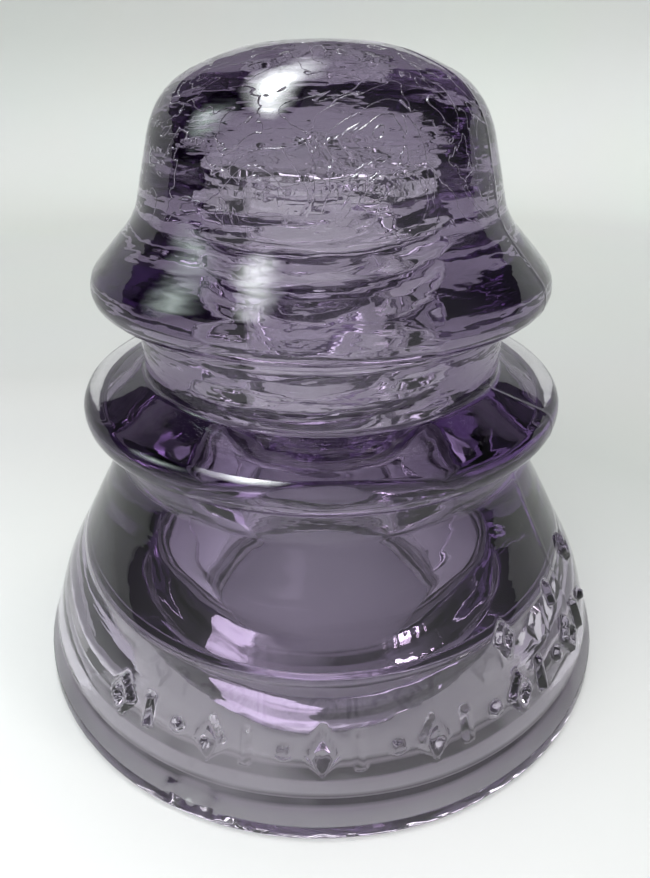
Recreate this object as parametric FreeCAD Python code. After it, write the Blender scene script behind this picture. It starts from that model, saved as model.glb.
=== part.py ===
"""Two-groove glass pin insulator.

The insulator is one pressed-glass casting: a domed crown, a top flange, an upper wire
groove, a middle flange, a lower wire groove and a bell-shaped skirt on a rolled foot.
Inside, a narrow slot parts the skirt from a thick petticoat, and a threaded pinhole with a
flared mouth runs up through the petticoat into the crown.
The origin is the centre of the foot ring, +Z is up along the pinhole, sizes are in mm.
"""
import FreeCAD, Part
import math
import os

INCH = 25.4

# Standard 1-inch pin thread: four rounded turns per inch, tapered 1/16 inch per inch.
PIN_DIAMETER = INCH
THREAD_PITCH = INCH / 4
THREAD_TAPER = 1 / 32
THREAD_TURNS = 6
THREAD_DEPTH = 1.5
THREAD_ROUND = 1.9
PIN_CLEARANCE = 0.5
THREAD_TOP_R = PIN_DIAMETER / 2 + PIN_CLEARANCE - THREAD_DEPTH

# Whole body.
HEIGHT = 94.8
LIP_R = 52.0

# Foot: a rolled lip with a moulding ledge above it.
FOOT_INNER_R = 45.0
LIP_CROWN_R = 51.4
LIP_CROWN_Z = 2.6
LEDGE_R = 48.5
LEDGE_Z = 5.2
BELL_FOOT_R = 49.9
BELL_FOOT_Z = 6.5

# Bell-shaped skirt, between the ledge and the lower wire groove.
BELL_LOW = (47.1, 14.2)
BELL_HIGH = (37.7, 30.5)

# Lower wire groove and middle flange.
LOWER_GROOVE_R = 34.2
LOWER_GROOVE_Z = 37.4
MID_FLANGE_R = 38.6
MID_FLANGE_Z = 43.2
MID_FLANGE_EDGE = 5.0

# Upper wire groove and top flange.
UPPER_GROOVE_R = 28.7
UPPER_GROOVE_Z = 50.4
TOP_FLANGE_R = 34.6
TOP_FLANGE_Z = 60.9
TOP_FLANGE_EDGE = 4.8

# Crown.
CROWN_FOOT = (27.2, 73.6)
CROWN_SHOULDER = (22.7, 89.2)
DOME_FLAT_R = 10.2

# Slot between the skirt and the petticoat, wider at its mouth.
SLOT_TOP_Z = 17.5
SLOT_OUTER_R = 39.4
PETTICOAT_R = 36.6
PETTICOAT_Z = 1.0

# Pinhole: flared mouth, plain entry, thread and coned blind end.
MOUTH_R = 22.2
MOUTH_WAIST = (20.6, 12.0)
ENTRY_R = 14.6
ENTRY_LOW_Z = 24.0
ENTRY_TOP_Z = 36.5
THREAD_TOP_Z = 76.0
PINHOLE_SHOULDER_Z = 78.2
PINHOLE_END_Z = 80.6
PINHOLE_END_R = THREAD_TOP_R - 0.2


def core_radius(z):
    """Radius of the thread's crests, which widen towards the mouth of the pinhole."""
    return THREAD_TOP_R + THREAD_TAPER * (THREAD_TOP_Z - z)


def outer_corners():
    """Corners (radius, height, rounding) of the outside, from the foot to the dome."""
    foot = [
        (FOOT_INNER_R, 0, 1.5),
        (LIP_R, 0, 0.7),
        (LIP_CROWN_R, LIP_CROWN_Z, 0.7),
        (LEDGE_R, LEDGE_Z, 0.3),
        (BELL_FOOT_R, BELL_FOOT_Z, 0.4),
    ]
    skirt = [
        (*BELL_LOW, 40),
        (*BELL_HIGH, 18),
        (LOWER_GROOVE_R, LOWER_GROOVE_Z, 3.0),
        (LOWER_GROOVE_R, MID_FLANGE_Z, 1.2),
    ]
    flanges = [
        (MID_FLANGE_R, MID_FLANGE_Z, 2.4),
        (MID_FLANGE_R, MID_FLANGE_Z + MID_FLANGE_EDGE, 2.4),
        (UPPER_GROOVE_R, UPPER_GROOVE_Z, 0.8),
        (UPPER_GROOVE_R, TOP_FLANGE_Z + 0.3, 2.6),
        (TOP_FLANGE_R, TOP_FLANGE_Z, 2.9),
        (TOP_FLANGE_R, TOP_FLANGE_Z + TOP_FLANGE_EDGE, 4),
    ]
    crown = [
        (*CROWN_FOOT, 9),
        (*CROWN_SHOULDER, 12),
        (DOME_FLAT_R, HEIGHT, 34),
        (0, HEIGHT, 0),
    ]
    return foot + skirt + flanges + crown


def inner_corners():
    """Corners (radius, height, rounding) of the inside, from the pinhole's end to the foot."""
    pinhole = [
        (0, PINHOLE_END_Z, 0),
        (PINHOLE_END_R, PINHOLE_SHOULDER_Z, 0.8),
        (PINHOLE_END_R, THREAD_TOP_Z + 0.6, 0.3),
        (THREAD_TOP_R, THREAD_TOP_Z, 0.5),
        (core_radius(ENTRY_TOP_Z + 2), ENTRY_TOP_Z + 2, 1.0),
        (ENTRY_R, ENTRY_TOP_Z, 1.0),
        (ENTRY_R, ENTRY_LOW_Z, 4.0),
        (*MOUTH_WAIST, 14),
        (MOUTH_R, PETTICOAT_Z, 1.2),
    ]
    slot = [
        (PETTICOAT_R, PETTICOAT_Z, 1.2),
        (PETTICOAT_R, SLOT_TOP_Z, 0.9),
        (SLOT_OUTER_R, SLOT_TOP_Z, 1.2),
    ]
    return pinhole + slot


def unit(start, end):
    """Unit vector from one point of the section to another."""
    step = end - start
    return step * (1 / step.Length)


def rounded_section(corners):
    """Closed wire through the corners in the XZ plane, with a tangent arc at each rounding."""
    points = [FreeCAD.Vector(r, 0, z) for r, z, _ in corners]
    count = len(points)
    edges = []
    arcs = []
    for i, (corner, spec) in enumerate(zip(points, corners)):
        rounding = spec[2]
        if rounding == 0:
            arcs.append((corner, corner))
            continue
        back = unit(corner, points[i - 1])
        ahead = unit(corner, points[(i + 1) % count])
        half = back.getAngle(ahead) / 2
        reach = rounding / math.tan(half)
        middle = unit(FreeCAD.Vector(), back + ahead) * (rounding / math.sin(half) - rounding)
        start, end = corner + back * reach, corner + ahead * reach
        edges.append(Part.Arc(start, corner + middle, end).toShape())
        arcs.append((start, end))
    for i, (start, _) in enumerate(arcs):
        edges.append(Part.LineSegment(arcs[i - 1][1], start).toShape())
    return Part.Wire(Part.__sortEdges__(edges))


def revolved_glass():
    """The casting before its thread is cut: one section turned about the Z axis."""
    section = Part.Face(rounded_section(outer_corners() + inner_corners()))
    return section.revolve(FreeCAD.Vector(), FreeCAD.Vector(0, 0, 1), 360)


def thread_groove():
    """Round-bottomed helical groove that follows the taper of the pinhole."""
    length = THREAD_PITCH * THREAD_TURNS
    base_z = THREAD_TOP_Z - THREAD_ROUND - length
    centre_r = core_radius(base_z) + THREAD_DEPTH - THREAD_ROUND
    cone_angle = -math.degrees(math.atan(THREAD_TAPER))
    helix = Part.makeHelix(THREAD_PITCH, length, centre_r, cone_angle)
    helix.translate(FreeCAD.Vector(0, 0, base_z))
    start = helix.Edges[0].valueAt(helix.Edges[0].FirstParameter)
    heading = helix.Edges[0].tangentAt(helix.Edges[0].FirstParameter)
    ring = Part.Wire(Part.makeCircle(THREAD_ROUND, start, heading))
    return Part.Wire(helix.Edges).makePipeShell([ring], True, True)


def glass_body():
    """The finished casting."""
    glass = revolved_glass().cut(thread_groove())
    return glass.Solids[0]


def main():
    """Write the casting as a STEP file."""
    os.makedirs("parts", exist_ok=True)
    solid = glass_body()
    print("glass_body", solid.isValid(), round(solid.Volume / 1000, 1), "cm3", solid.BoundBox)
    solid.exportStep("parts/glass_body.step")


main()
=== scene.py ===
"""Looks of the two-groove glass pin insulator: one pressed-glass casting, lightly purple.

The casting's mesh is turned from the same section as the CAD node that it replaces, with
the thread, the moulded marks, the seams, the chipped lip and the ripples of the pressing as
real geometry. Lengths in the tables below are millimetres, and MM turns them into metres.
"""
import math

import bmesh
import bpy
import numpy as np
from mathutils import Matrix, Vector, noise


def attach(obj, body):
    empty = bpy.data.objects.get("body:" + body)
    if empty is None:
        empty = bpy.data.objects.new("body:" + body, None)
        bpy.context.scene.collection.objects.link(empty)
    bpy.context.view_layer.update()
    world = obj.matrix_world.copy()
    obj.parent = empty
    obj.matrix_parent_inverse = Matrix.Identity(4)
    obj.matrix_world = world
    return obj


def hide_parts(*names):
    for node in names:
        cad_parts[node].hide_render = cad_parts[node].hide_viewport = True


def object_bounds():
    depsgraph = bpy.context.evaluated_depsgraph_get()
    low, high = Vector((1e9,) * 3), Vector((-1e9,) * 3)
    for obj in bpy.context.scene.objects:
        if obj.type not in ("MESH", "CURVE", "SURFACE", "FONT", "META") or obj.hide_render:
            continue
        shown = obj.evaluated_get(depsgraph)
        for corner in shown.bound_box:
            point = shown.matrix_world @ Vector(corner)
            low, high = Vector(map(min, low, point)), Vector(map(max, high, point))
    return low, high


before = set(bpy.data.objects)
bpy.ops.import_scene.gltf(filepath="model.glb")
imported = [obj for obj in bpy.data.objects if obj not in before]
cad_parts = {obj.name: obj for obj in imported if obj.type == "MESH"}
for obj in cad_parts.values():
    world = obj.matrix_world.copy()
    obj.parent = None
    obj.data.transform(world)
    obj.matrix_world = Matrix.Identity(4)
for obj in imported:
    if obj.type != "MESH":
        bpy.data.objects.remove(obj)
CAD_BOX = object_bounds()
MM = 0.001
HEIGHT = CAD_BOX[1].z / MM

# ---------------------------------------------------------------- section of the casting

LIP_R = CAD_BOX[1].x / MM
THREAD_PITCH = 6.35
THREAD_TURNS = 6
THREAD_DEPTH = 1.5
THREAD_HALF_WIDTH = 2.1
THREAD_TAPER = 1 / 32
THREAD_TOP_R = 11.7
THREAD_TOP_Z = 76.0
ENTRY_R = 14.6
ENTRY_TOP_Z = 36.5
ENTRY_LOW_Z = 24.0
PETTICOAT_Z = 1.0
PINHOLE_SHOULDER_Z = 78.2
PINHOLE_END_Z = 80.6
LEDGE_Z = 5.2
CREST_FOOT_R = THREAD_TOP_R + THREAD_TAPER * (THREAD_TOP_Z - ENTRY_TOP_Z - 2)

# (radius, height, rounding) of each corner, from the pinhole's end to the dome's top.
PINHOLE = [
    (0, PINHOLE_END_Z, 0),
    (THREAD_TOP_R - 0.2, PINHOLE_SHOULDER_Z, 0.8),
    (THREAD_TOP_R - 0.2, THREAD_TOP_Z + 0.6, 0.3),
    (THREAD_TOP_R, THREAD_TOP_Z, 0.5),
    (CREST_FOOT_R, ENTRY_TOP_Z + 2, 1.0),
    (ENTRY_R, ENTRY_TOP_Z, 1.0),
    (ENTRY_R, ENTRY_LOW_Z, 4.0),
    (20.6, 12.0, 14),
    (22.2, PETTICOAT_Z, 1.2),
]
CAVITY = [
    (36.6, PETTICOAT_Z, 1.2),
    (36.6, 17.5, 0.9),
    (39.4, 17.5, 1.2),
    (45.0, 0, 1.5),
]
BELL_LOW = (47.1, 14.2, 40)
OUTSIDE = [
    (LIP_R, 0, 0.7),
    (51.4, 2.6, 0.7),
    (48.5, LEDGE_Z, 0.3),
    (49.9, 6.5, 0.4),
    BELL_LOW,
    (37.7, 30.5, 18),
    (34.2, 37.4, 3.0),
    (34.2, 43.2, 1.2),
    (38.6, 43.2, 2.4),
    (38.6, 48.2, 2.4),
    (28.7, 50.4, 0.8),
    (28.7, 61.2, 2.6),
    (34.6, 60.9, 2.9),
    (34.6, 65.7, 4),
    (27.2, 73.6, 9),
    (22.7, 89.2, 12),
    (10.2, HEIGHT, 34),
    (0, HEIGHT, 0),
]
STEP_PINHOLE = 0.8
STEP_CAVITY = 2.4
STEP_OUTSIDE = 1.6
STEP_MARKS = 0.42
MARKS_BAND = (8.5, 23.5)
SKIRT_MIN_R = 40

# ---------------------------------------------------------------- marks, seams and ripples

FINE_ARC = (math.radians(-41), math.radians(73))
FINE_STEP = math.radians(0.55)
COARSE_STEP = math.radians(4)
SEAM_ANGLES = (math.radians(60), math.radians(-120))
SEAM_HEIGHT = 0.08
SEAM_WIDTH = 0.35
SEAM_FOOT_Z = 7
SEAM_TOP_R = 12

# Rows of marks: how many, first angle and spacing in degrees, height up the skirt, half
# height of a mark, and how many of the motifs take turns.
MARK_ROWS = [
    (18, -37, 6.2, 12.9, 2.7, 3),
    (3, 37, 17, 20.5, 1.9, 2),
]
MARK_HEIGHT = 0.9
MARK_EDGE = 0.22
SKIRT_SLOPE = 0.87
LOZENGE_ASPECT = 0.62
LOZENGE_LINE = 0.5
BAR_HALF_WIDTH = 0.6
DOT_R = 0.95

# Chip in the front of the lip: angle, height, half width round the lip and half height.
CHIP_ANGLE = math.radians(-21)
CHIP_Z = 2.9
CHIP_HALF = (5.0, 1.7)
CHIP_LIP_R = 51
CHIP_MIN_R = 45

# Lumps of the pressing: size across, squash of the height, and depth.
BROAD_LUMPS = (14, 1.6, 0.10)
FINE_LUMPS = (5, 2.2, 0.02)
INSIDE_LUMPS = 2.2

# Outer points nearer to the table than this lie on it.
FOOT_SNAP = 0.001

# Folds at the pinhole's blind end.
FOLD_SIZE = 4.0
FOLD_BEND_SIZE = 5.0
FOLD_BEND = 3
FOLD_SHARPNESS = 10
FOLD_DEPTH = 0.25


def rounded(corners):
    """Points and sides of the section, from (radius, height, rounding, step, side) corners."""
    pts = [Vector((r, z)) for r, z, _, _, _ in corners]
    ends = []
    arcs = []
    for i, (corner, spec) in enumerate(zip(pts, corners)):
        rounding = spec[2]
        if rounding == 0:
            ends.append((corner, corner))
            arcs.append([corner])
            continue
        back = (pts[i - 1] - corner).normalized()
        ahead = (pts[i + 1] - corner).normalized()
        half = back.angle(ahead) / 2
        reach = rounding / math.tan(half)
        start, end = corner + back * reach, corner + ahead * reach
        centre = corner + (back + ahead).normalized() * rounding / math.sin(half)
        turn = math.pi - 2 * half
        count = max(2, math.ceil(rounding * turn / spec[3]), math.ceil(turn / 0.35))
        a, b = start - centre, end - centre
        sweep = math.atan2(a.x * b.y - a.y * b.x, a.dot(b))
        arc = []
        for k in range(count + 1):
            c, s = math.cos(sweep * k / count), math.sin(sweep * k / count)
            arc.append(centre + Vector((a.x * c - a.y * s, a.x * s + a.y * c)))
        ends.append((start, end))
        arcs.append(arc)
    out = []
    for i, arc in enumerate(arcs):
        step, side = corners[i][3], corners[i][4]
        if i:
            a, b = ends[i - 1][1], arc[0]
            count = math.ceil((b - a).length / step)
            out += [(a.lerp(b, k / count), side) for k in range(1, count)]
        out += [(p, side) for p in arc]
    return out


def section():
    """The whole section as arrays: points, outward normals and the side of each."""
    corners = [(*c, STEP_PINHOLE, 0) for c in PINHOLE]
    corners += [(*c, STEP_CAVITY, 1) for c in CAVITY]
    corners += [(*c, STEP_OUTSIDE, 2) for c in OUTSIDE]
    marks = OUTSIDE.index(BELL_LOW) + len(PINHOLE) + len(CAVITY)
    for k in (marks, marks + 1):
        corners[k] = (*corners[k][:3], STEP_MARKS, 2)
    corners[1] = (*corners[1][:3], STEP_MARKS, 0)
    samples = rounded(corners)
    pts = np.array([tuple(p) for p, _ in samples])
    side = np.array([s for _, s in samples])
    along = np.gradient(pts, axis=0)
    along /= np.linalg.norm(along, axis=1)[:, None]
    return pts, np.stack([-along[:, 1], along[:, 0]], axis=1) * -1, side


def column_angles():
    """Angles of the columns from the front (-Y) towards +X, close together at the marks."""
    fine = np.arange(FINE_ARC[0], FINE_ARC[1], FINE_STEP)
    rest = 2 * math.pi - (FINE_ARC[1] - FINE_ARC[0])
    count = round(rest / COARSE_STEP)
    coarse = FINE_ARC[1] + rest * np.arange(count) / count
    return np.concatenate([fine, coarse])


def smooth(low, high, x):
    """0 below low, 1 above high, and a smooth ramp between."""
    t = np.clip((x - low) / (high - low), 0, 1)
    return t * t * (3 - 2 * t)


def angle_gap(angle, centre):
    """Signed difference between angles, from -pi to pi."""
    return (angle - centre + math.pi) % (2 * math.pi) - math.pi


def noise_field(points, size, seed):
    """Smooth noise from -1 to 1 at each point, for lumps about that many mm across."""
    shift = Vector((seed * 13.7, seed * 7.3, seed * 3.1))
    return np.array([noise.noise(Vector(p) / size + shift) for p in points])


def thread_depth(angle, z):
    """Depth of the pin thread's groove below its crests."""
    turn = (z - THREAD_TOP_Z) / THREAD_PITCH - (angle - math.pi / 2) / (2 * math.pi)
    across = (turn - np.round(turn)) * THREAD_PITCH
    groove = 0.5 + 0.5 * np.cos(math.pi * np.clip(across / THREAD_HALF_WIDTH, -1, 1))
    low = THREAD_TOP_Z - THREAD_TURNS * THREAD_PITCH
    return THREAD_DEPTH * groove * smooth(low, low + 3, z) * smooth(THREAD_TOP_Z, THREAD_TOP_Z - 4, z)


def mark_relief(angle, radius, z):
    """Generic raised marks round the skirt: lozenges, bars and dots."""
    relief = np.zeros_like(angle)
    for count, first, spacing, row_z, half, kinds in MARK_ROWS:
        w = np.abs((z - row_z) / SKIRT_SLOPE)
        for k in range(count):
            u = np.abs(angle_gap(angle, math.radians(first + spacing * k)) * radius)
            relief = np.maximum(relief, motif(k % kinds, u, w, half))
    return relief * MARK_HEIGHT


def motif(kind, u, w, half):
    """Height from 0 to 1 of one mark: 0 a lozenge's outline, 1 a bar, 2 a dot."""
    wide = half * LOZENGE_ASPECT
    if kind == 0:
        edge = (u / wide + w / half - 1) * wide * half / math.hypot(wide, half)
        gap = np.abs(edge) - LOZENGE_LINE
    elif kind == 1:
        gap = np.maximum(u - BAR_HALF_WIDTH, w - half)
    else:
        gap = np.hypot(u, w) - DOT_R
    return smooth(MARK_EDGE, -MARK_EDGE, gap)


def lip_chip(angle, z):
    """Depth of the shallow shell-shaped chip in the front of the foot's lip."""
    across = angle_gap(angle, CHIP_ANGLE) * CHIP_LIP_R / CHIP_HALF[0]
    along = (z - CHIP_Z) / CHIP_HALF[1]
    reach = np.hypot(across, along)
    bowl = smooth(1.0, 0.86, reach) * (0.45 + 0.12 * np.cos(9 * reach))
    return np.where(reach < 1.1, bowl, 0)


def lumps(xyz):
    """Push of the broad and fine lumps that the pressing leaves."""
    broad, fine = (
        noise_field(xyz * [1, 1, squash], size, seed) * depth
        for seed, (size, squash, depth) in enumerate((BROAD_LUMPS, FINE_LUMPS), 1)
    )
    return broad + fine


def blind_folds(xyz, z):
    """Push of the bent folds at the pinhole's blind end."""
    bend = np.stack([noise_field(xyz, FOLD_BEND_SIZE, k) for k in (4, 5, 6)], axis=1) * FOLD_BEND
    fold = 1 - np.abs(noise_field((xyz + bend) * [1, 1, 1.5], FOLD_SIZE, 3)) * FOLD_SHARPNESS
    rise = smooth(THREAD_TOP_Z - 2, THREAD_TOP_Z + 1, z)
    return np.clip(fold, 0, 1) ** 2 * -FOLD_DEPTH * rise


def place(r, z, angle):
    """Points at the given radius, height and angle from the front."""
    return np.stack([r * np.sin(angle), -r * np.cos(angle), z], axis=1)


def surface_push(xyz, r, z, angle, where):
    """How far each point of the smooth section moves out along its normal."""
    push = np.zeros(len(r))
    pin = where == 0
    outside = where == 2
    threaded = pin & (z < THREAD_TOP_Z + 1) & (z > ENTRY_TOP_Z - 2)
    push[threaded] -= thread_depth(angle[threaded], z[threaded])
    band = outside & (z > MARKS_BAND[0]) & (z < MARKS_BAND[1]) & (r > SKIRT_MIN_R)
    push[band] += mark_relief(angle[band], r[band], z[band])
    push[outside] -= lip_chip(angle[outside], z[outside]) * (r[outside] > CHIP_MIN_R)
    ripple = lumps(xyz)
    push += np.where(outside, ripple - BROAD_LUMPS[2], ripple * INSIDE_LUMPS)
    blind = pin & (z > THREAD_TOP_Z - 2)
    push[blind] += blind_folds(xyz[blind], z[blind])
    for seam in SEAM_ANGLES:
        ridge = SEAM_HEIGHT * np.exp(-(angle_gap(angle, seam) * r / SEAM_WIDTH) ** 2)
        push += np.where(outside & (z > SEAM_FOOT_Z) & (r > SEAM_TOP_R), ridge, 0)
    return push


def casting_grid():
    """Vertex positions of the casting as rows (along the section) by columns (round it)."""
    pts, normals, side = section()
    angles = column_angles()
    rows, cols = len(pts), len(angles)
    r = np.repeat(pts[:, 0], cols)
    z = np.repeat(pts[:, 1], cols)
    where = np.repeat(side, cols)
    angle = np.tile(angles, rows)
    push = surface_push(place(r, z, angle), r, z, angle, where)
    r = r + np.repeat(normals[:, 0], cols) * push
    z = z + np.repeat(normals[:, 1], cols) * push
    z[(where == 2) & (z < FOOT_SNAP)] = 0
    z = np.maximum(z, 0)
    return place(r, z, angle).reshape(rows, cols, 3)


def casting_mesh():
    """Closed mesh of the casting: rings of the grid, capped at both poles."""
    grid = casting_grid()
    rings = grid[1:-1]
    rows, cols = rings.shape[:2]
    verts = rings.reshape(-1, 3).tolist() + [grid[0, 0].tolist(), grid[-1, 0].tolist()]
    first, last = rows * cols, rows * cols + 1
    faces = []
    for i in range(rows - 1):
        for j in range(cols):
            k = (j + 1) % cols
            faces.append((i * cols + j, i * cols + k, (i + 1) * cols + k, (i + 1) * cols + j))
    top = (rows - 1) * cols
    for j in range(cols):
        k = (j + 1) % cols
        faces.append((first, k, j))
        faces.append((last, top + j, top + k))
    mesh = bpy.data.meshes.new("glass_casting")
    mesh.from_pydata([[c * MM for c in v] for v in verts], [], faces)
    mesh.polygons.foreach_set("use_smooth", [True] * len(faces))
    mesh.update()
    return mesh


GLASS_IOR = 1.51
GLASS_TINT = (0.585, 0.515, 0.645, 1)
GLASS_DENSITY = 60


def set_inputs(node, values):
    """Set a shader node's unlinked inputs by name."""
    for name, value in values.items():
        node.inputs[name].default_value = value


def glass_material():
    """Clear, lightly purple pressed glass."""
    mat = bpy.data.materials.new("amethyst_glass")
    mat.use_nodes = True
    nodes, links = mat.node_tree.nodes, mat.node_tree.links
    shader = nodes["Principled BSDF"]
    set_inputs(shader, {"Roughness": 0.0, "IOR": GLASS_IOR, "Transmission Weight": 1.0})
    where = nodes.new("ShaderNodeTexCoord")
    height = nodes.new("ShaderNodeSeparateXYZ")
    links.new(where.outputs["Object"], height.inputs[0])
    waves = wave_bump(nodes, links, where, height)
    links.new(wrinkle_bump(nodes, links, where, height, waves), shader.inputs["Normal"])
    # Base colour: painted shade, a dark double line in the ledge above the lip.
    links.new(ledge_painted_shade(nodes, links, where, height), shader.inputs["Base Color"])
    tint = nodes.new("ShaderNodeVolumeAbsorption")
    set_inputs(tint, {"Color": GLASS_TINT, "Density": GLASS_DENSITY})
    links.new(tint.outputs["Volume"], nodes["Material Output"].inputs["Volume"])
    return mat


def wave_bump(nodes, links, where, height):
    """Flat waves in the surface, faint on the skirt and stronger towards the crown."""
    flat = nodes.new("ShaderNodeMapping")
    set_inputs(flat, {"Scale": (1, 1, 4.2)})
    waves = nodes.new("ShaderNodeTexNoise")
    set_inputs(waves, {"Scale": 125, "Detail": 2.2, "Roughness": 0.45})
    wavy = nodes.new("ShaderNodeMapRange")
    set_inputs(wavy, {"From Min": 0.034, "From Max": 0.056, "To Min": 0.06, "To Max": 0.46})
    bump = nodes.new("ShaderNodeBump")
    set_inputs(bump, {"Distance": 0.0004})
    links.new(where.outputs["Object"], flat.inputs["Vector"])
    links.new(flat.outputs["Vector"], waves.inputs["Vector"])
    links.new(waves.outputs["Fac"], bump.inputs["Height"])
    links.new(height.outputs["Z"], wavy.inputs["Value"])
    links.new(wavy.outputs["Result"], bump.inputs["Strength"])
    return bump.outputs["Normal"]


def wrinkle_bump(nodes, links, where, height, normal):
    """Thin wandering wrinkles in the crown's skin, along the middle value of a noise."""
    veins = nodes.new("ShaderNodeTexNoise")
    set_inputs(veins, {"Scale": 115, "Detail": 2.0, "Distortion": 2.0})
    centred = nodes.new("ShaderNodeMath")
    centred.operation = "SUBTRACT"
    centred.inputs[1].default_value = 0.5
    folded = nodes.new("ShaderNodeMath")
    folded.operation = "ABSOLUTE"
    line = nodes.new("ShaderNodeMapRange")
    set_inputs(line, {"From Max": 0.012, "To Min": 1.0, "To Max": 0.0})
    crown = nodes.new("ShaderNodeMapRange")
    set_inputs(crown, {"From Min": 0.074, "From Max": 0.082, "To Max": 0.65})
    wrinkle = nodes.new("ShaderNodeBump")
    set_inputs(wrinkle, {"Distance": 0.0003})
    links.new(where.outputs["Object"], veins.inputs["Vector"])
    links.new(veins.outputs["Fac"], centred.inputs[0])
    links.new(centred.outputs[0], folded.inputs[0])
    links.new(folded.outputs[0], line.inputs["Value"])
    links.new(line.outputs["Result"], wrinkle.inputs["Height"])
    links.new(height.outputs["Z"], crown.inputs["Value"])
    links.new(crown.outputs["Result"], wrinkle.inputs["Strength"])
    links.new(normal, wrinkle.inputs["Normal"])
    return wrinkle.outputs["Normal"]


def ledge_painted_shade(nodes, links, where, height):
    """White, with painted shade: a dark double line along the ledge above the lip, in patches."""
    ledge = nodes.new("ShaderNodeMapRange")
    set_inputs(ledge, {"From Min": 0.0036, "From Max": 0.0074})
    painted_shades = nodes.new("ShaderNodeValToRGB")
    ramp = painted_shades.color_ramp
    ramp.elements[0].color = (1, 1, 1, 1)
    ramp.elements[1].color = (1, 1, 1, 1)
    # Dark bands of painted shade in and just above the ledge.
    for spot, level in ((0.1, 1.0), (0.2, 0.08), (0.62, 0.05), (0.76, 0.7), (0.86, 0.15)):
        ramp.elements.new(spot).color = (level, level * 0.92, level, 1)
    patches = nodes.new("ShaderNodeTexNoise")
    set_inputs(patches, {"Scale": 60})
    keep = nodes.new("ShaderNodeMapRange")
    set_inputs(keep, {"From Min": 0.38, "From Max": 0.55, "To Min": 0.55})
    blend = nodes.new("ShaderNodeMix")
    blend.data_type = "RGBA"
    set_inputs(blend, {"A": (1, 1, 1, 1)})
    links.new(height.outputs["Z"], ledge.inputs["Value"])
    links.new(ledge.outputs["Result"], painted_shades.inputs["Fac"])
    links.new(where.outputs["Object"], patches.inputs["Vector"])
    links.new(patches.outputs["Fac"], keep.inputs["Value"])
    links.new(keep.outputs["Result"], blend.inputs["Factor"])
    links.new(painted_shades.outputs["Color"], blend.inputs["B"])
    return blend.outputs["Result"]


def make_casting():
    """The casting as one object that stands for the CAD node."""
    casting = bpy.data.objects.new("glass_casting", casting_mesh())
    bpy.context.collection.objects.link(casting)
    casting.data.materials.append(glass_material())
    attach(casting, "root")
    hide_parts("glass_body")
    return casting


# ---------------------------------------------------------------- camera, floor and light

CAMERA_AT = (0.0003, -0.1005, 0.0902)
CAMERA_PITCH = math.radians(29.4)
CAMERA_LENS = 26.25


def make_camera():
    """Close, wide camera that looks down on the insulator from the front."""
    data = bpy.data.cameras.new("camera")
    data.sensor_width = 36
    data.lens = CAMERA_LENS
    data.clip_start = 0.005
    data.clip_end = 20
    data.shift_x = 0.002
    camera = bpy.data.objects.new("camera", data)
    camera.location = CAMERA_AT
    camera.rotation_euler = (math.pi / 2 - CAMERA_PITCH, 0, 0)
    bpy.context.collection.objects.link(camera)
    bpy.context.scene.camera = camera


def paper_painted_light_material():
    """Matt white paper with a painted pool of light round the middle that greys to painted shade away
    from it, with a faint mottle.
    """
    mat = bpy.data.materials.new("pale_paper")
    mat.use_nodes = True
    nodes, links = mat.node_tree.nodes, mat.node_tree.links
    shader = nodes["Principled BSDF"]
    shader.inputs["Roughness"].default_value = 0.7
    place = nodes.new("ShaderNodeTexCoord")
    spread = nodes.new("ShaderNodeMapping")
    spread.inputs["Scale"].default_value = (1.9, 1.9, 1.9)
    spread.inputs["Location"].default_value = (0.16, 0.28, 0)
    # Painted light: a bright pool round a point near the insulator, greying outwards as painted
    # shade.
    fade = nodes.new("ShaderNodeTexGradient")
    fade.gradient_type = "SPHERICAL"
    painted_shades = nodes.new("ShaderNodeValToRGB")
    painted_shades.color_ramp.elements[0].position = 0.52
    painted_shades.color_ramp.elements[0].color = (0.56, 0.575, 0.56, 1)
    painted_shades.color_ramp.elements[1].position = 0.80
    painted_shades.color_ramp.elements[1].color = (0.92, 0.94, 0.94, 1)
    mottle = nodes.new("ShaderNodeTexNoise")
    mottle.inputs["Scale"].default_value = 9
    blend = nodes.new("ShaderNodeMix")
    blend.data_type = "RGBA"
    blend.blend_type = "MULTIPLY"
    blend.inputs["Factor"].default_value = 0.06
    links.new(place.outputs["Object"], spread.inputs["Vector"])
    links.new(spread.outputs["Vector"], fade.inputs["Vector"])
    links.new(fade.outputs["Fac"], painted_shades.inputs["Fac"])
    links.new(place.outputs["Object"], mottle.inputs["Vector"])
    links.new(painted_shades.outputs["Color"], blend.inputs["A"])
    links.new(mottle.outputs["Color"], blend.inputs["B"])
    links.new(blend.outputs["Result"], shader.inputs["Base Color"])
    return mat


def make_floor():
    """Pale round table top whose back half sweeps up into a paper backdrop."""
    flat, bend, wall = 0.42, 0.14, 0.30
    build = bmesh.new()
    cols = 96
    turns = [2 * math.pi * j / cols for j in range(cols)]
    lift = [float(smooth(-0.1, 0.5, math.sin(a))) for a in turns]
    outline = [(flat * k / 6, 0.0) for k in range(1, 7)]
    for k in range(1, 13):
        a = math.pi / 2 * k / 12
        outline.append((flat + bend * math.sin(a), bend * (1 - math.cos(a))))
    outline.append((flat + bend, wall))
    centre = build.verts.new((0, 0, 0))
    rings = []
    for r, z in outline:
        ring = [
            build.verts.new((r * math.cos(a), r * math.sin(a), z * up))
            for a, up in zip(turns, lift)
        ]
        rings.append(ring)
    for j in range(cols):
        build.faces.new((centre, rings[0][j], rings[0][(j + 1) % cols]))
    for low, high in zip(rings, rings[1:]):
        for j in range(cols):
            k = (j + 1) % cols
            build.faces.new((low[j], high[j], high[k], low[k]))
    mesh = bpy.data.meshes.new("floor")
    build.to_mesh(mesh)
    build.free()
    mesh.polygons.foreach_set("use_smooth", [True] * len(mesh.polygons))
    floor = bpy.data.objects.new("floor", mesh)
    floor.location.z = -0.0002
    mesh.materials.append(paper_painted_light_material())
    bpy.context.collection.objects.link(floor)


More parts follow.
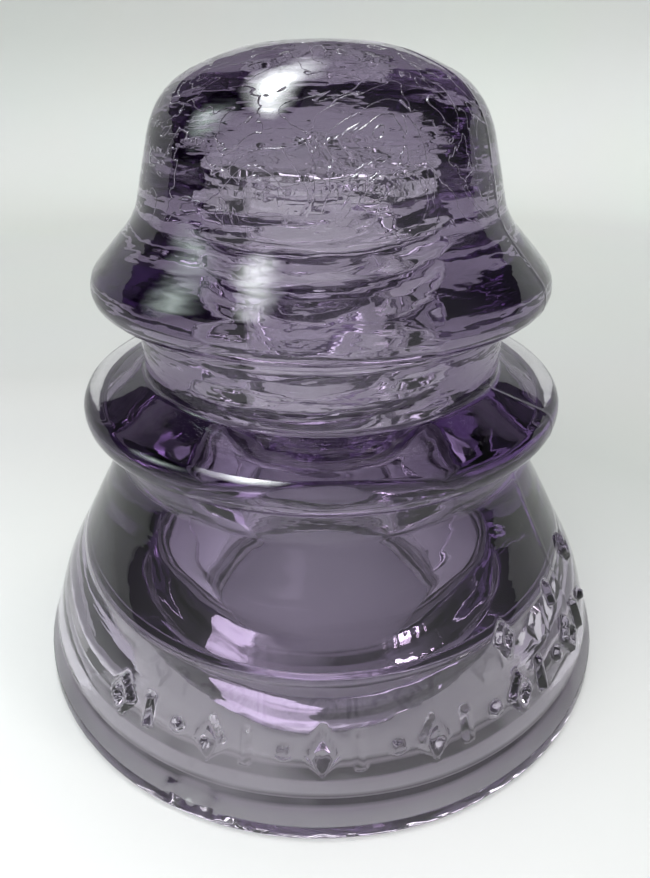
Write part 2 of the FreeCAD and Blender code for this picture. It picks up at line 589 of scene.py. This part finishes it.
def area_light(name, at, size, power, colour=(1, 1, 1)):
    """Rectangular lamp that faces the insulator; its mirror image is left to the cards."""
    data = bpy.data.lights.new(name, "AREA")
    data.shape = "RECTANGLE"
    data.size, data.size_y = size
    data.energy = power
    data.color = colour
    lamp = bpy.data.objects.new(name, data)
    lamp.location = at
    lamp.visible_glossy = False
    aim = Vector((0, 0, 0.04)) - Vector(at)
    lamp.rotation_euler = aim.to_track_quat("-Z", "Y").to_euler()
    bpy.context.collection.objects.link(lamp)


def glow_material(name, strength, colour):
    """Emission that fades softly from the middle of its card to the edge."""
    mat = bpy.data.materials.new(name)
    mat.use_nodes = True
    nodes, links = mat.node_tree.nodes, mat.node_tree.links
    nodes.remove(nodes["Principled BSDF"])
    where = nodes.new("ShaderNodeTexCoord")
    centred = nodes.new("ShaderNodeMapping")
    centred.inputs["Location"].default_value = (-1, -1, 0)
    centred.inputs["Scale"].default_value = (2, 2, 0)
    fade = nodes.new("ShaderNodeTexGradient")
    fade.gradient_type = "QUADRATIC_SPHERE"
    level = nodes.new("ShaderNodeMath")
    level.operation = "MULTIPLY"
    level.inputs[1].default_value = strength
    glow = nodes.new("ShaderNodeEmission")
    glow.inputs["Color"].default_value = (*colour, 1)
    links.new(where.outputs["Generated"], centred.inputs["Vector"])
    links.new(centred.outputs["Vector"], fade.inputs["Vector"])
    links.new(fade.outputs["Fac"], level.inputs[0])
    links.new(level.outputs[0], glow.inputs["Strength"])
    links.new(glow.outputs[0], nodes["Material Output"].inputs["Surface"])
    return mat


def glow_card(name, at, size, strength, colour):
    """Soft-edged bright patch facing the insulator, which only its shiny outside mirrors."""
    wide, tall = size[0] / 2, size[1] / 2
    outline = [(-wide, -tall), (wide, -tall), (wide, tall), (-wide, tall)]
    build = bmesh.new()
    build.faces.new([build.verts.new((u, v, 0)) for u, v in outline])
    mesh = bpy.data.meshes.new(name)
    build.to_mesh(mesh)
    build.free()
    mesh.materials.append(glow_material(name, strength, colour))
    sheet = bpy.data.objects.new(name, mesh)
    sheet.location = at
    sheet.visible_diffuse = False
    sheet.visible_transmission = False
    sheet.visible_camera = False
    aim = Vector((0, 0, 0.05)) - Vector(at)
    sheet.rotation_euler = aim.to_track_quat("-Z", "Y").to_euler()
    bpy.context.collection.objects.link(sheet)


def make_world():
    """A room that is dim behind, light in front, and pale where the camera looks past the wall."""
    world = bpy.data.worlds.new("room")
    bpy.context.scene.world = world
    world.use_nodes = True
    nodes, links = world.node_tree.nodes, world.node_tree.links
    dim = nodes["Background"]
    dim.inputs["Color"].default_value = (0.61, 0.63, 0.63, 1)
    facing = nodes.new("ShaderNodeTexCoord")
    parts = nodes.new("ShaderNodeSeparateXYZ")
    front = nodes.new("ShaderNodeMapRange")
    front.inputs["From Min"].default_value = 0.2
    front.inputs["From Max"].default_value = -0.7
    front.inputs["To Min"].default_value = 0.08
    front.inputs["To Max"].default_value = 0.90
    links.new(facing.outputs["Generated"], parts.inputs[0])
    links.new(parts.outputs["Y"], front.inputs["Value"])
    links.new(front.outputs["Result"], dim.inputs["Strength"])
    pale = nodes.new("ShaderNodeBackground")
    pale.inputs["Color"].default_value = (0.60, 0.61, 0.60, 1)
    path = nodes.new("ShaderNodeLightPath")
    mix = nodes.new("ShaderNodeMixShader")
    links.new(path.outputs["Is Camera Ray"], mix.inputs["Fac"])
    links.new(dim.outputs[0], mix.inputs[1])
    links.new(pale.outputs[0], mix.inputs[2])
    links.new(mix.outputs[0], nodes["World Output"].inputs["Surface"])


def make_light():
    """Two soft side lamps, an overhead softbox and two soft cards for the glass to mirror."""
    make_world()
    area_light("window_left", (-0.9, -0.8, 1.0), (2.2, 1.8), 26, (1.0, 1.0, 1.0))
    area_light("window_right", (0.85, -0.35, 0.65), (0.22, 0.3), 2, (1.0, 0.97, 0.93))
    area_light("overhead", (0.1, 0.3, 1.1), (1.0, 0.8), 6.5, (1.0, 1.0, 1.0))
    glow_card("sky_glow", (-0.30, 0.10, 1.0), (1.9, 0.5), 34, (0.95, 1.0, 1.0))
    glow_card("curtain_glow", (-0.80, 0.00, 0.66), (0.6, 0.8), 7, (0.86, 1.0, 0.95))


def main():
    """Build everything."""
    bpy.context.scene.view_settings.view_transform = "Standard"
    bpy.context.scene.view_settings.exposure = 0.2
    bpy.context.scene.cycles.transmission_bounces = 24
    bpy.context.scene.cycles.glossy_bounces = 24
    bpy.context.scene.cycles.max_bounces = 28
    make_camera()
    make_floor()
    make_light()
    make_casting()


main()
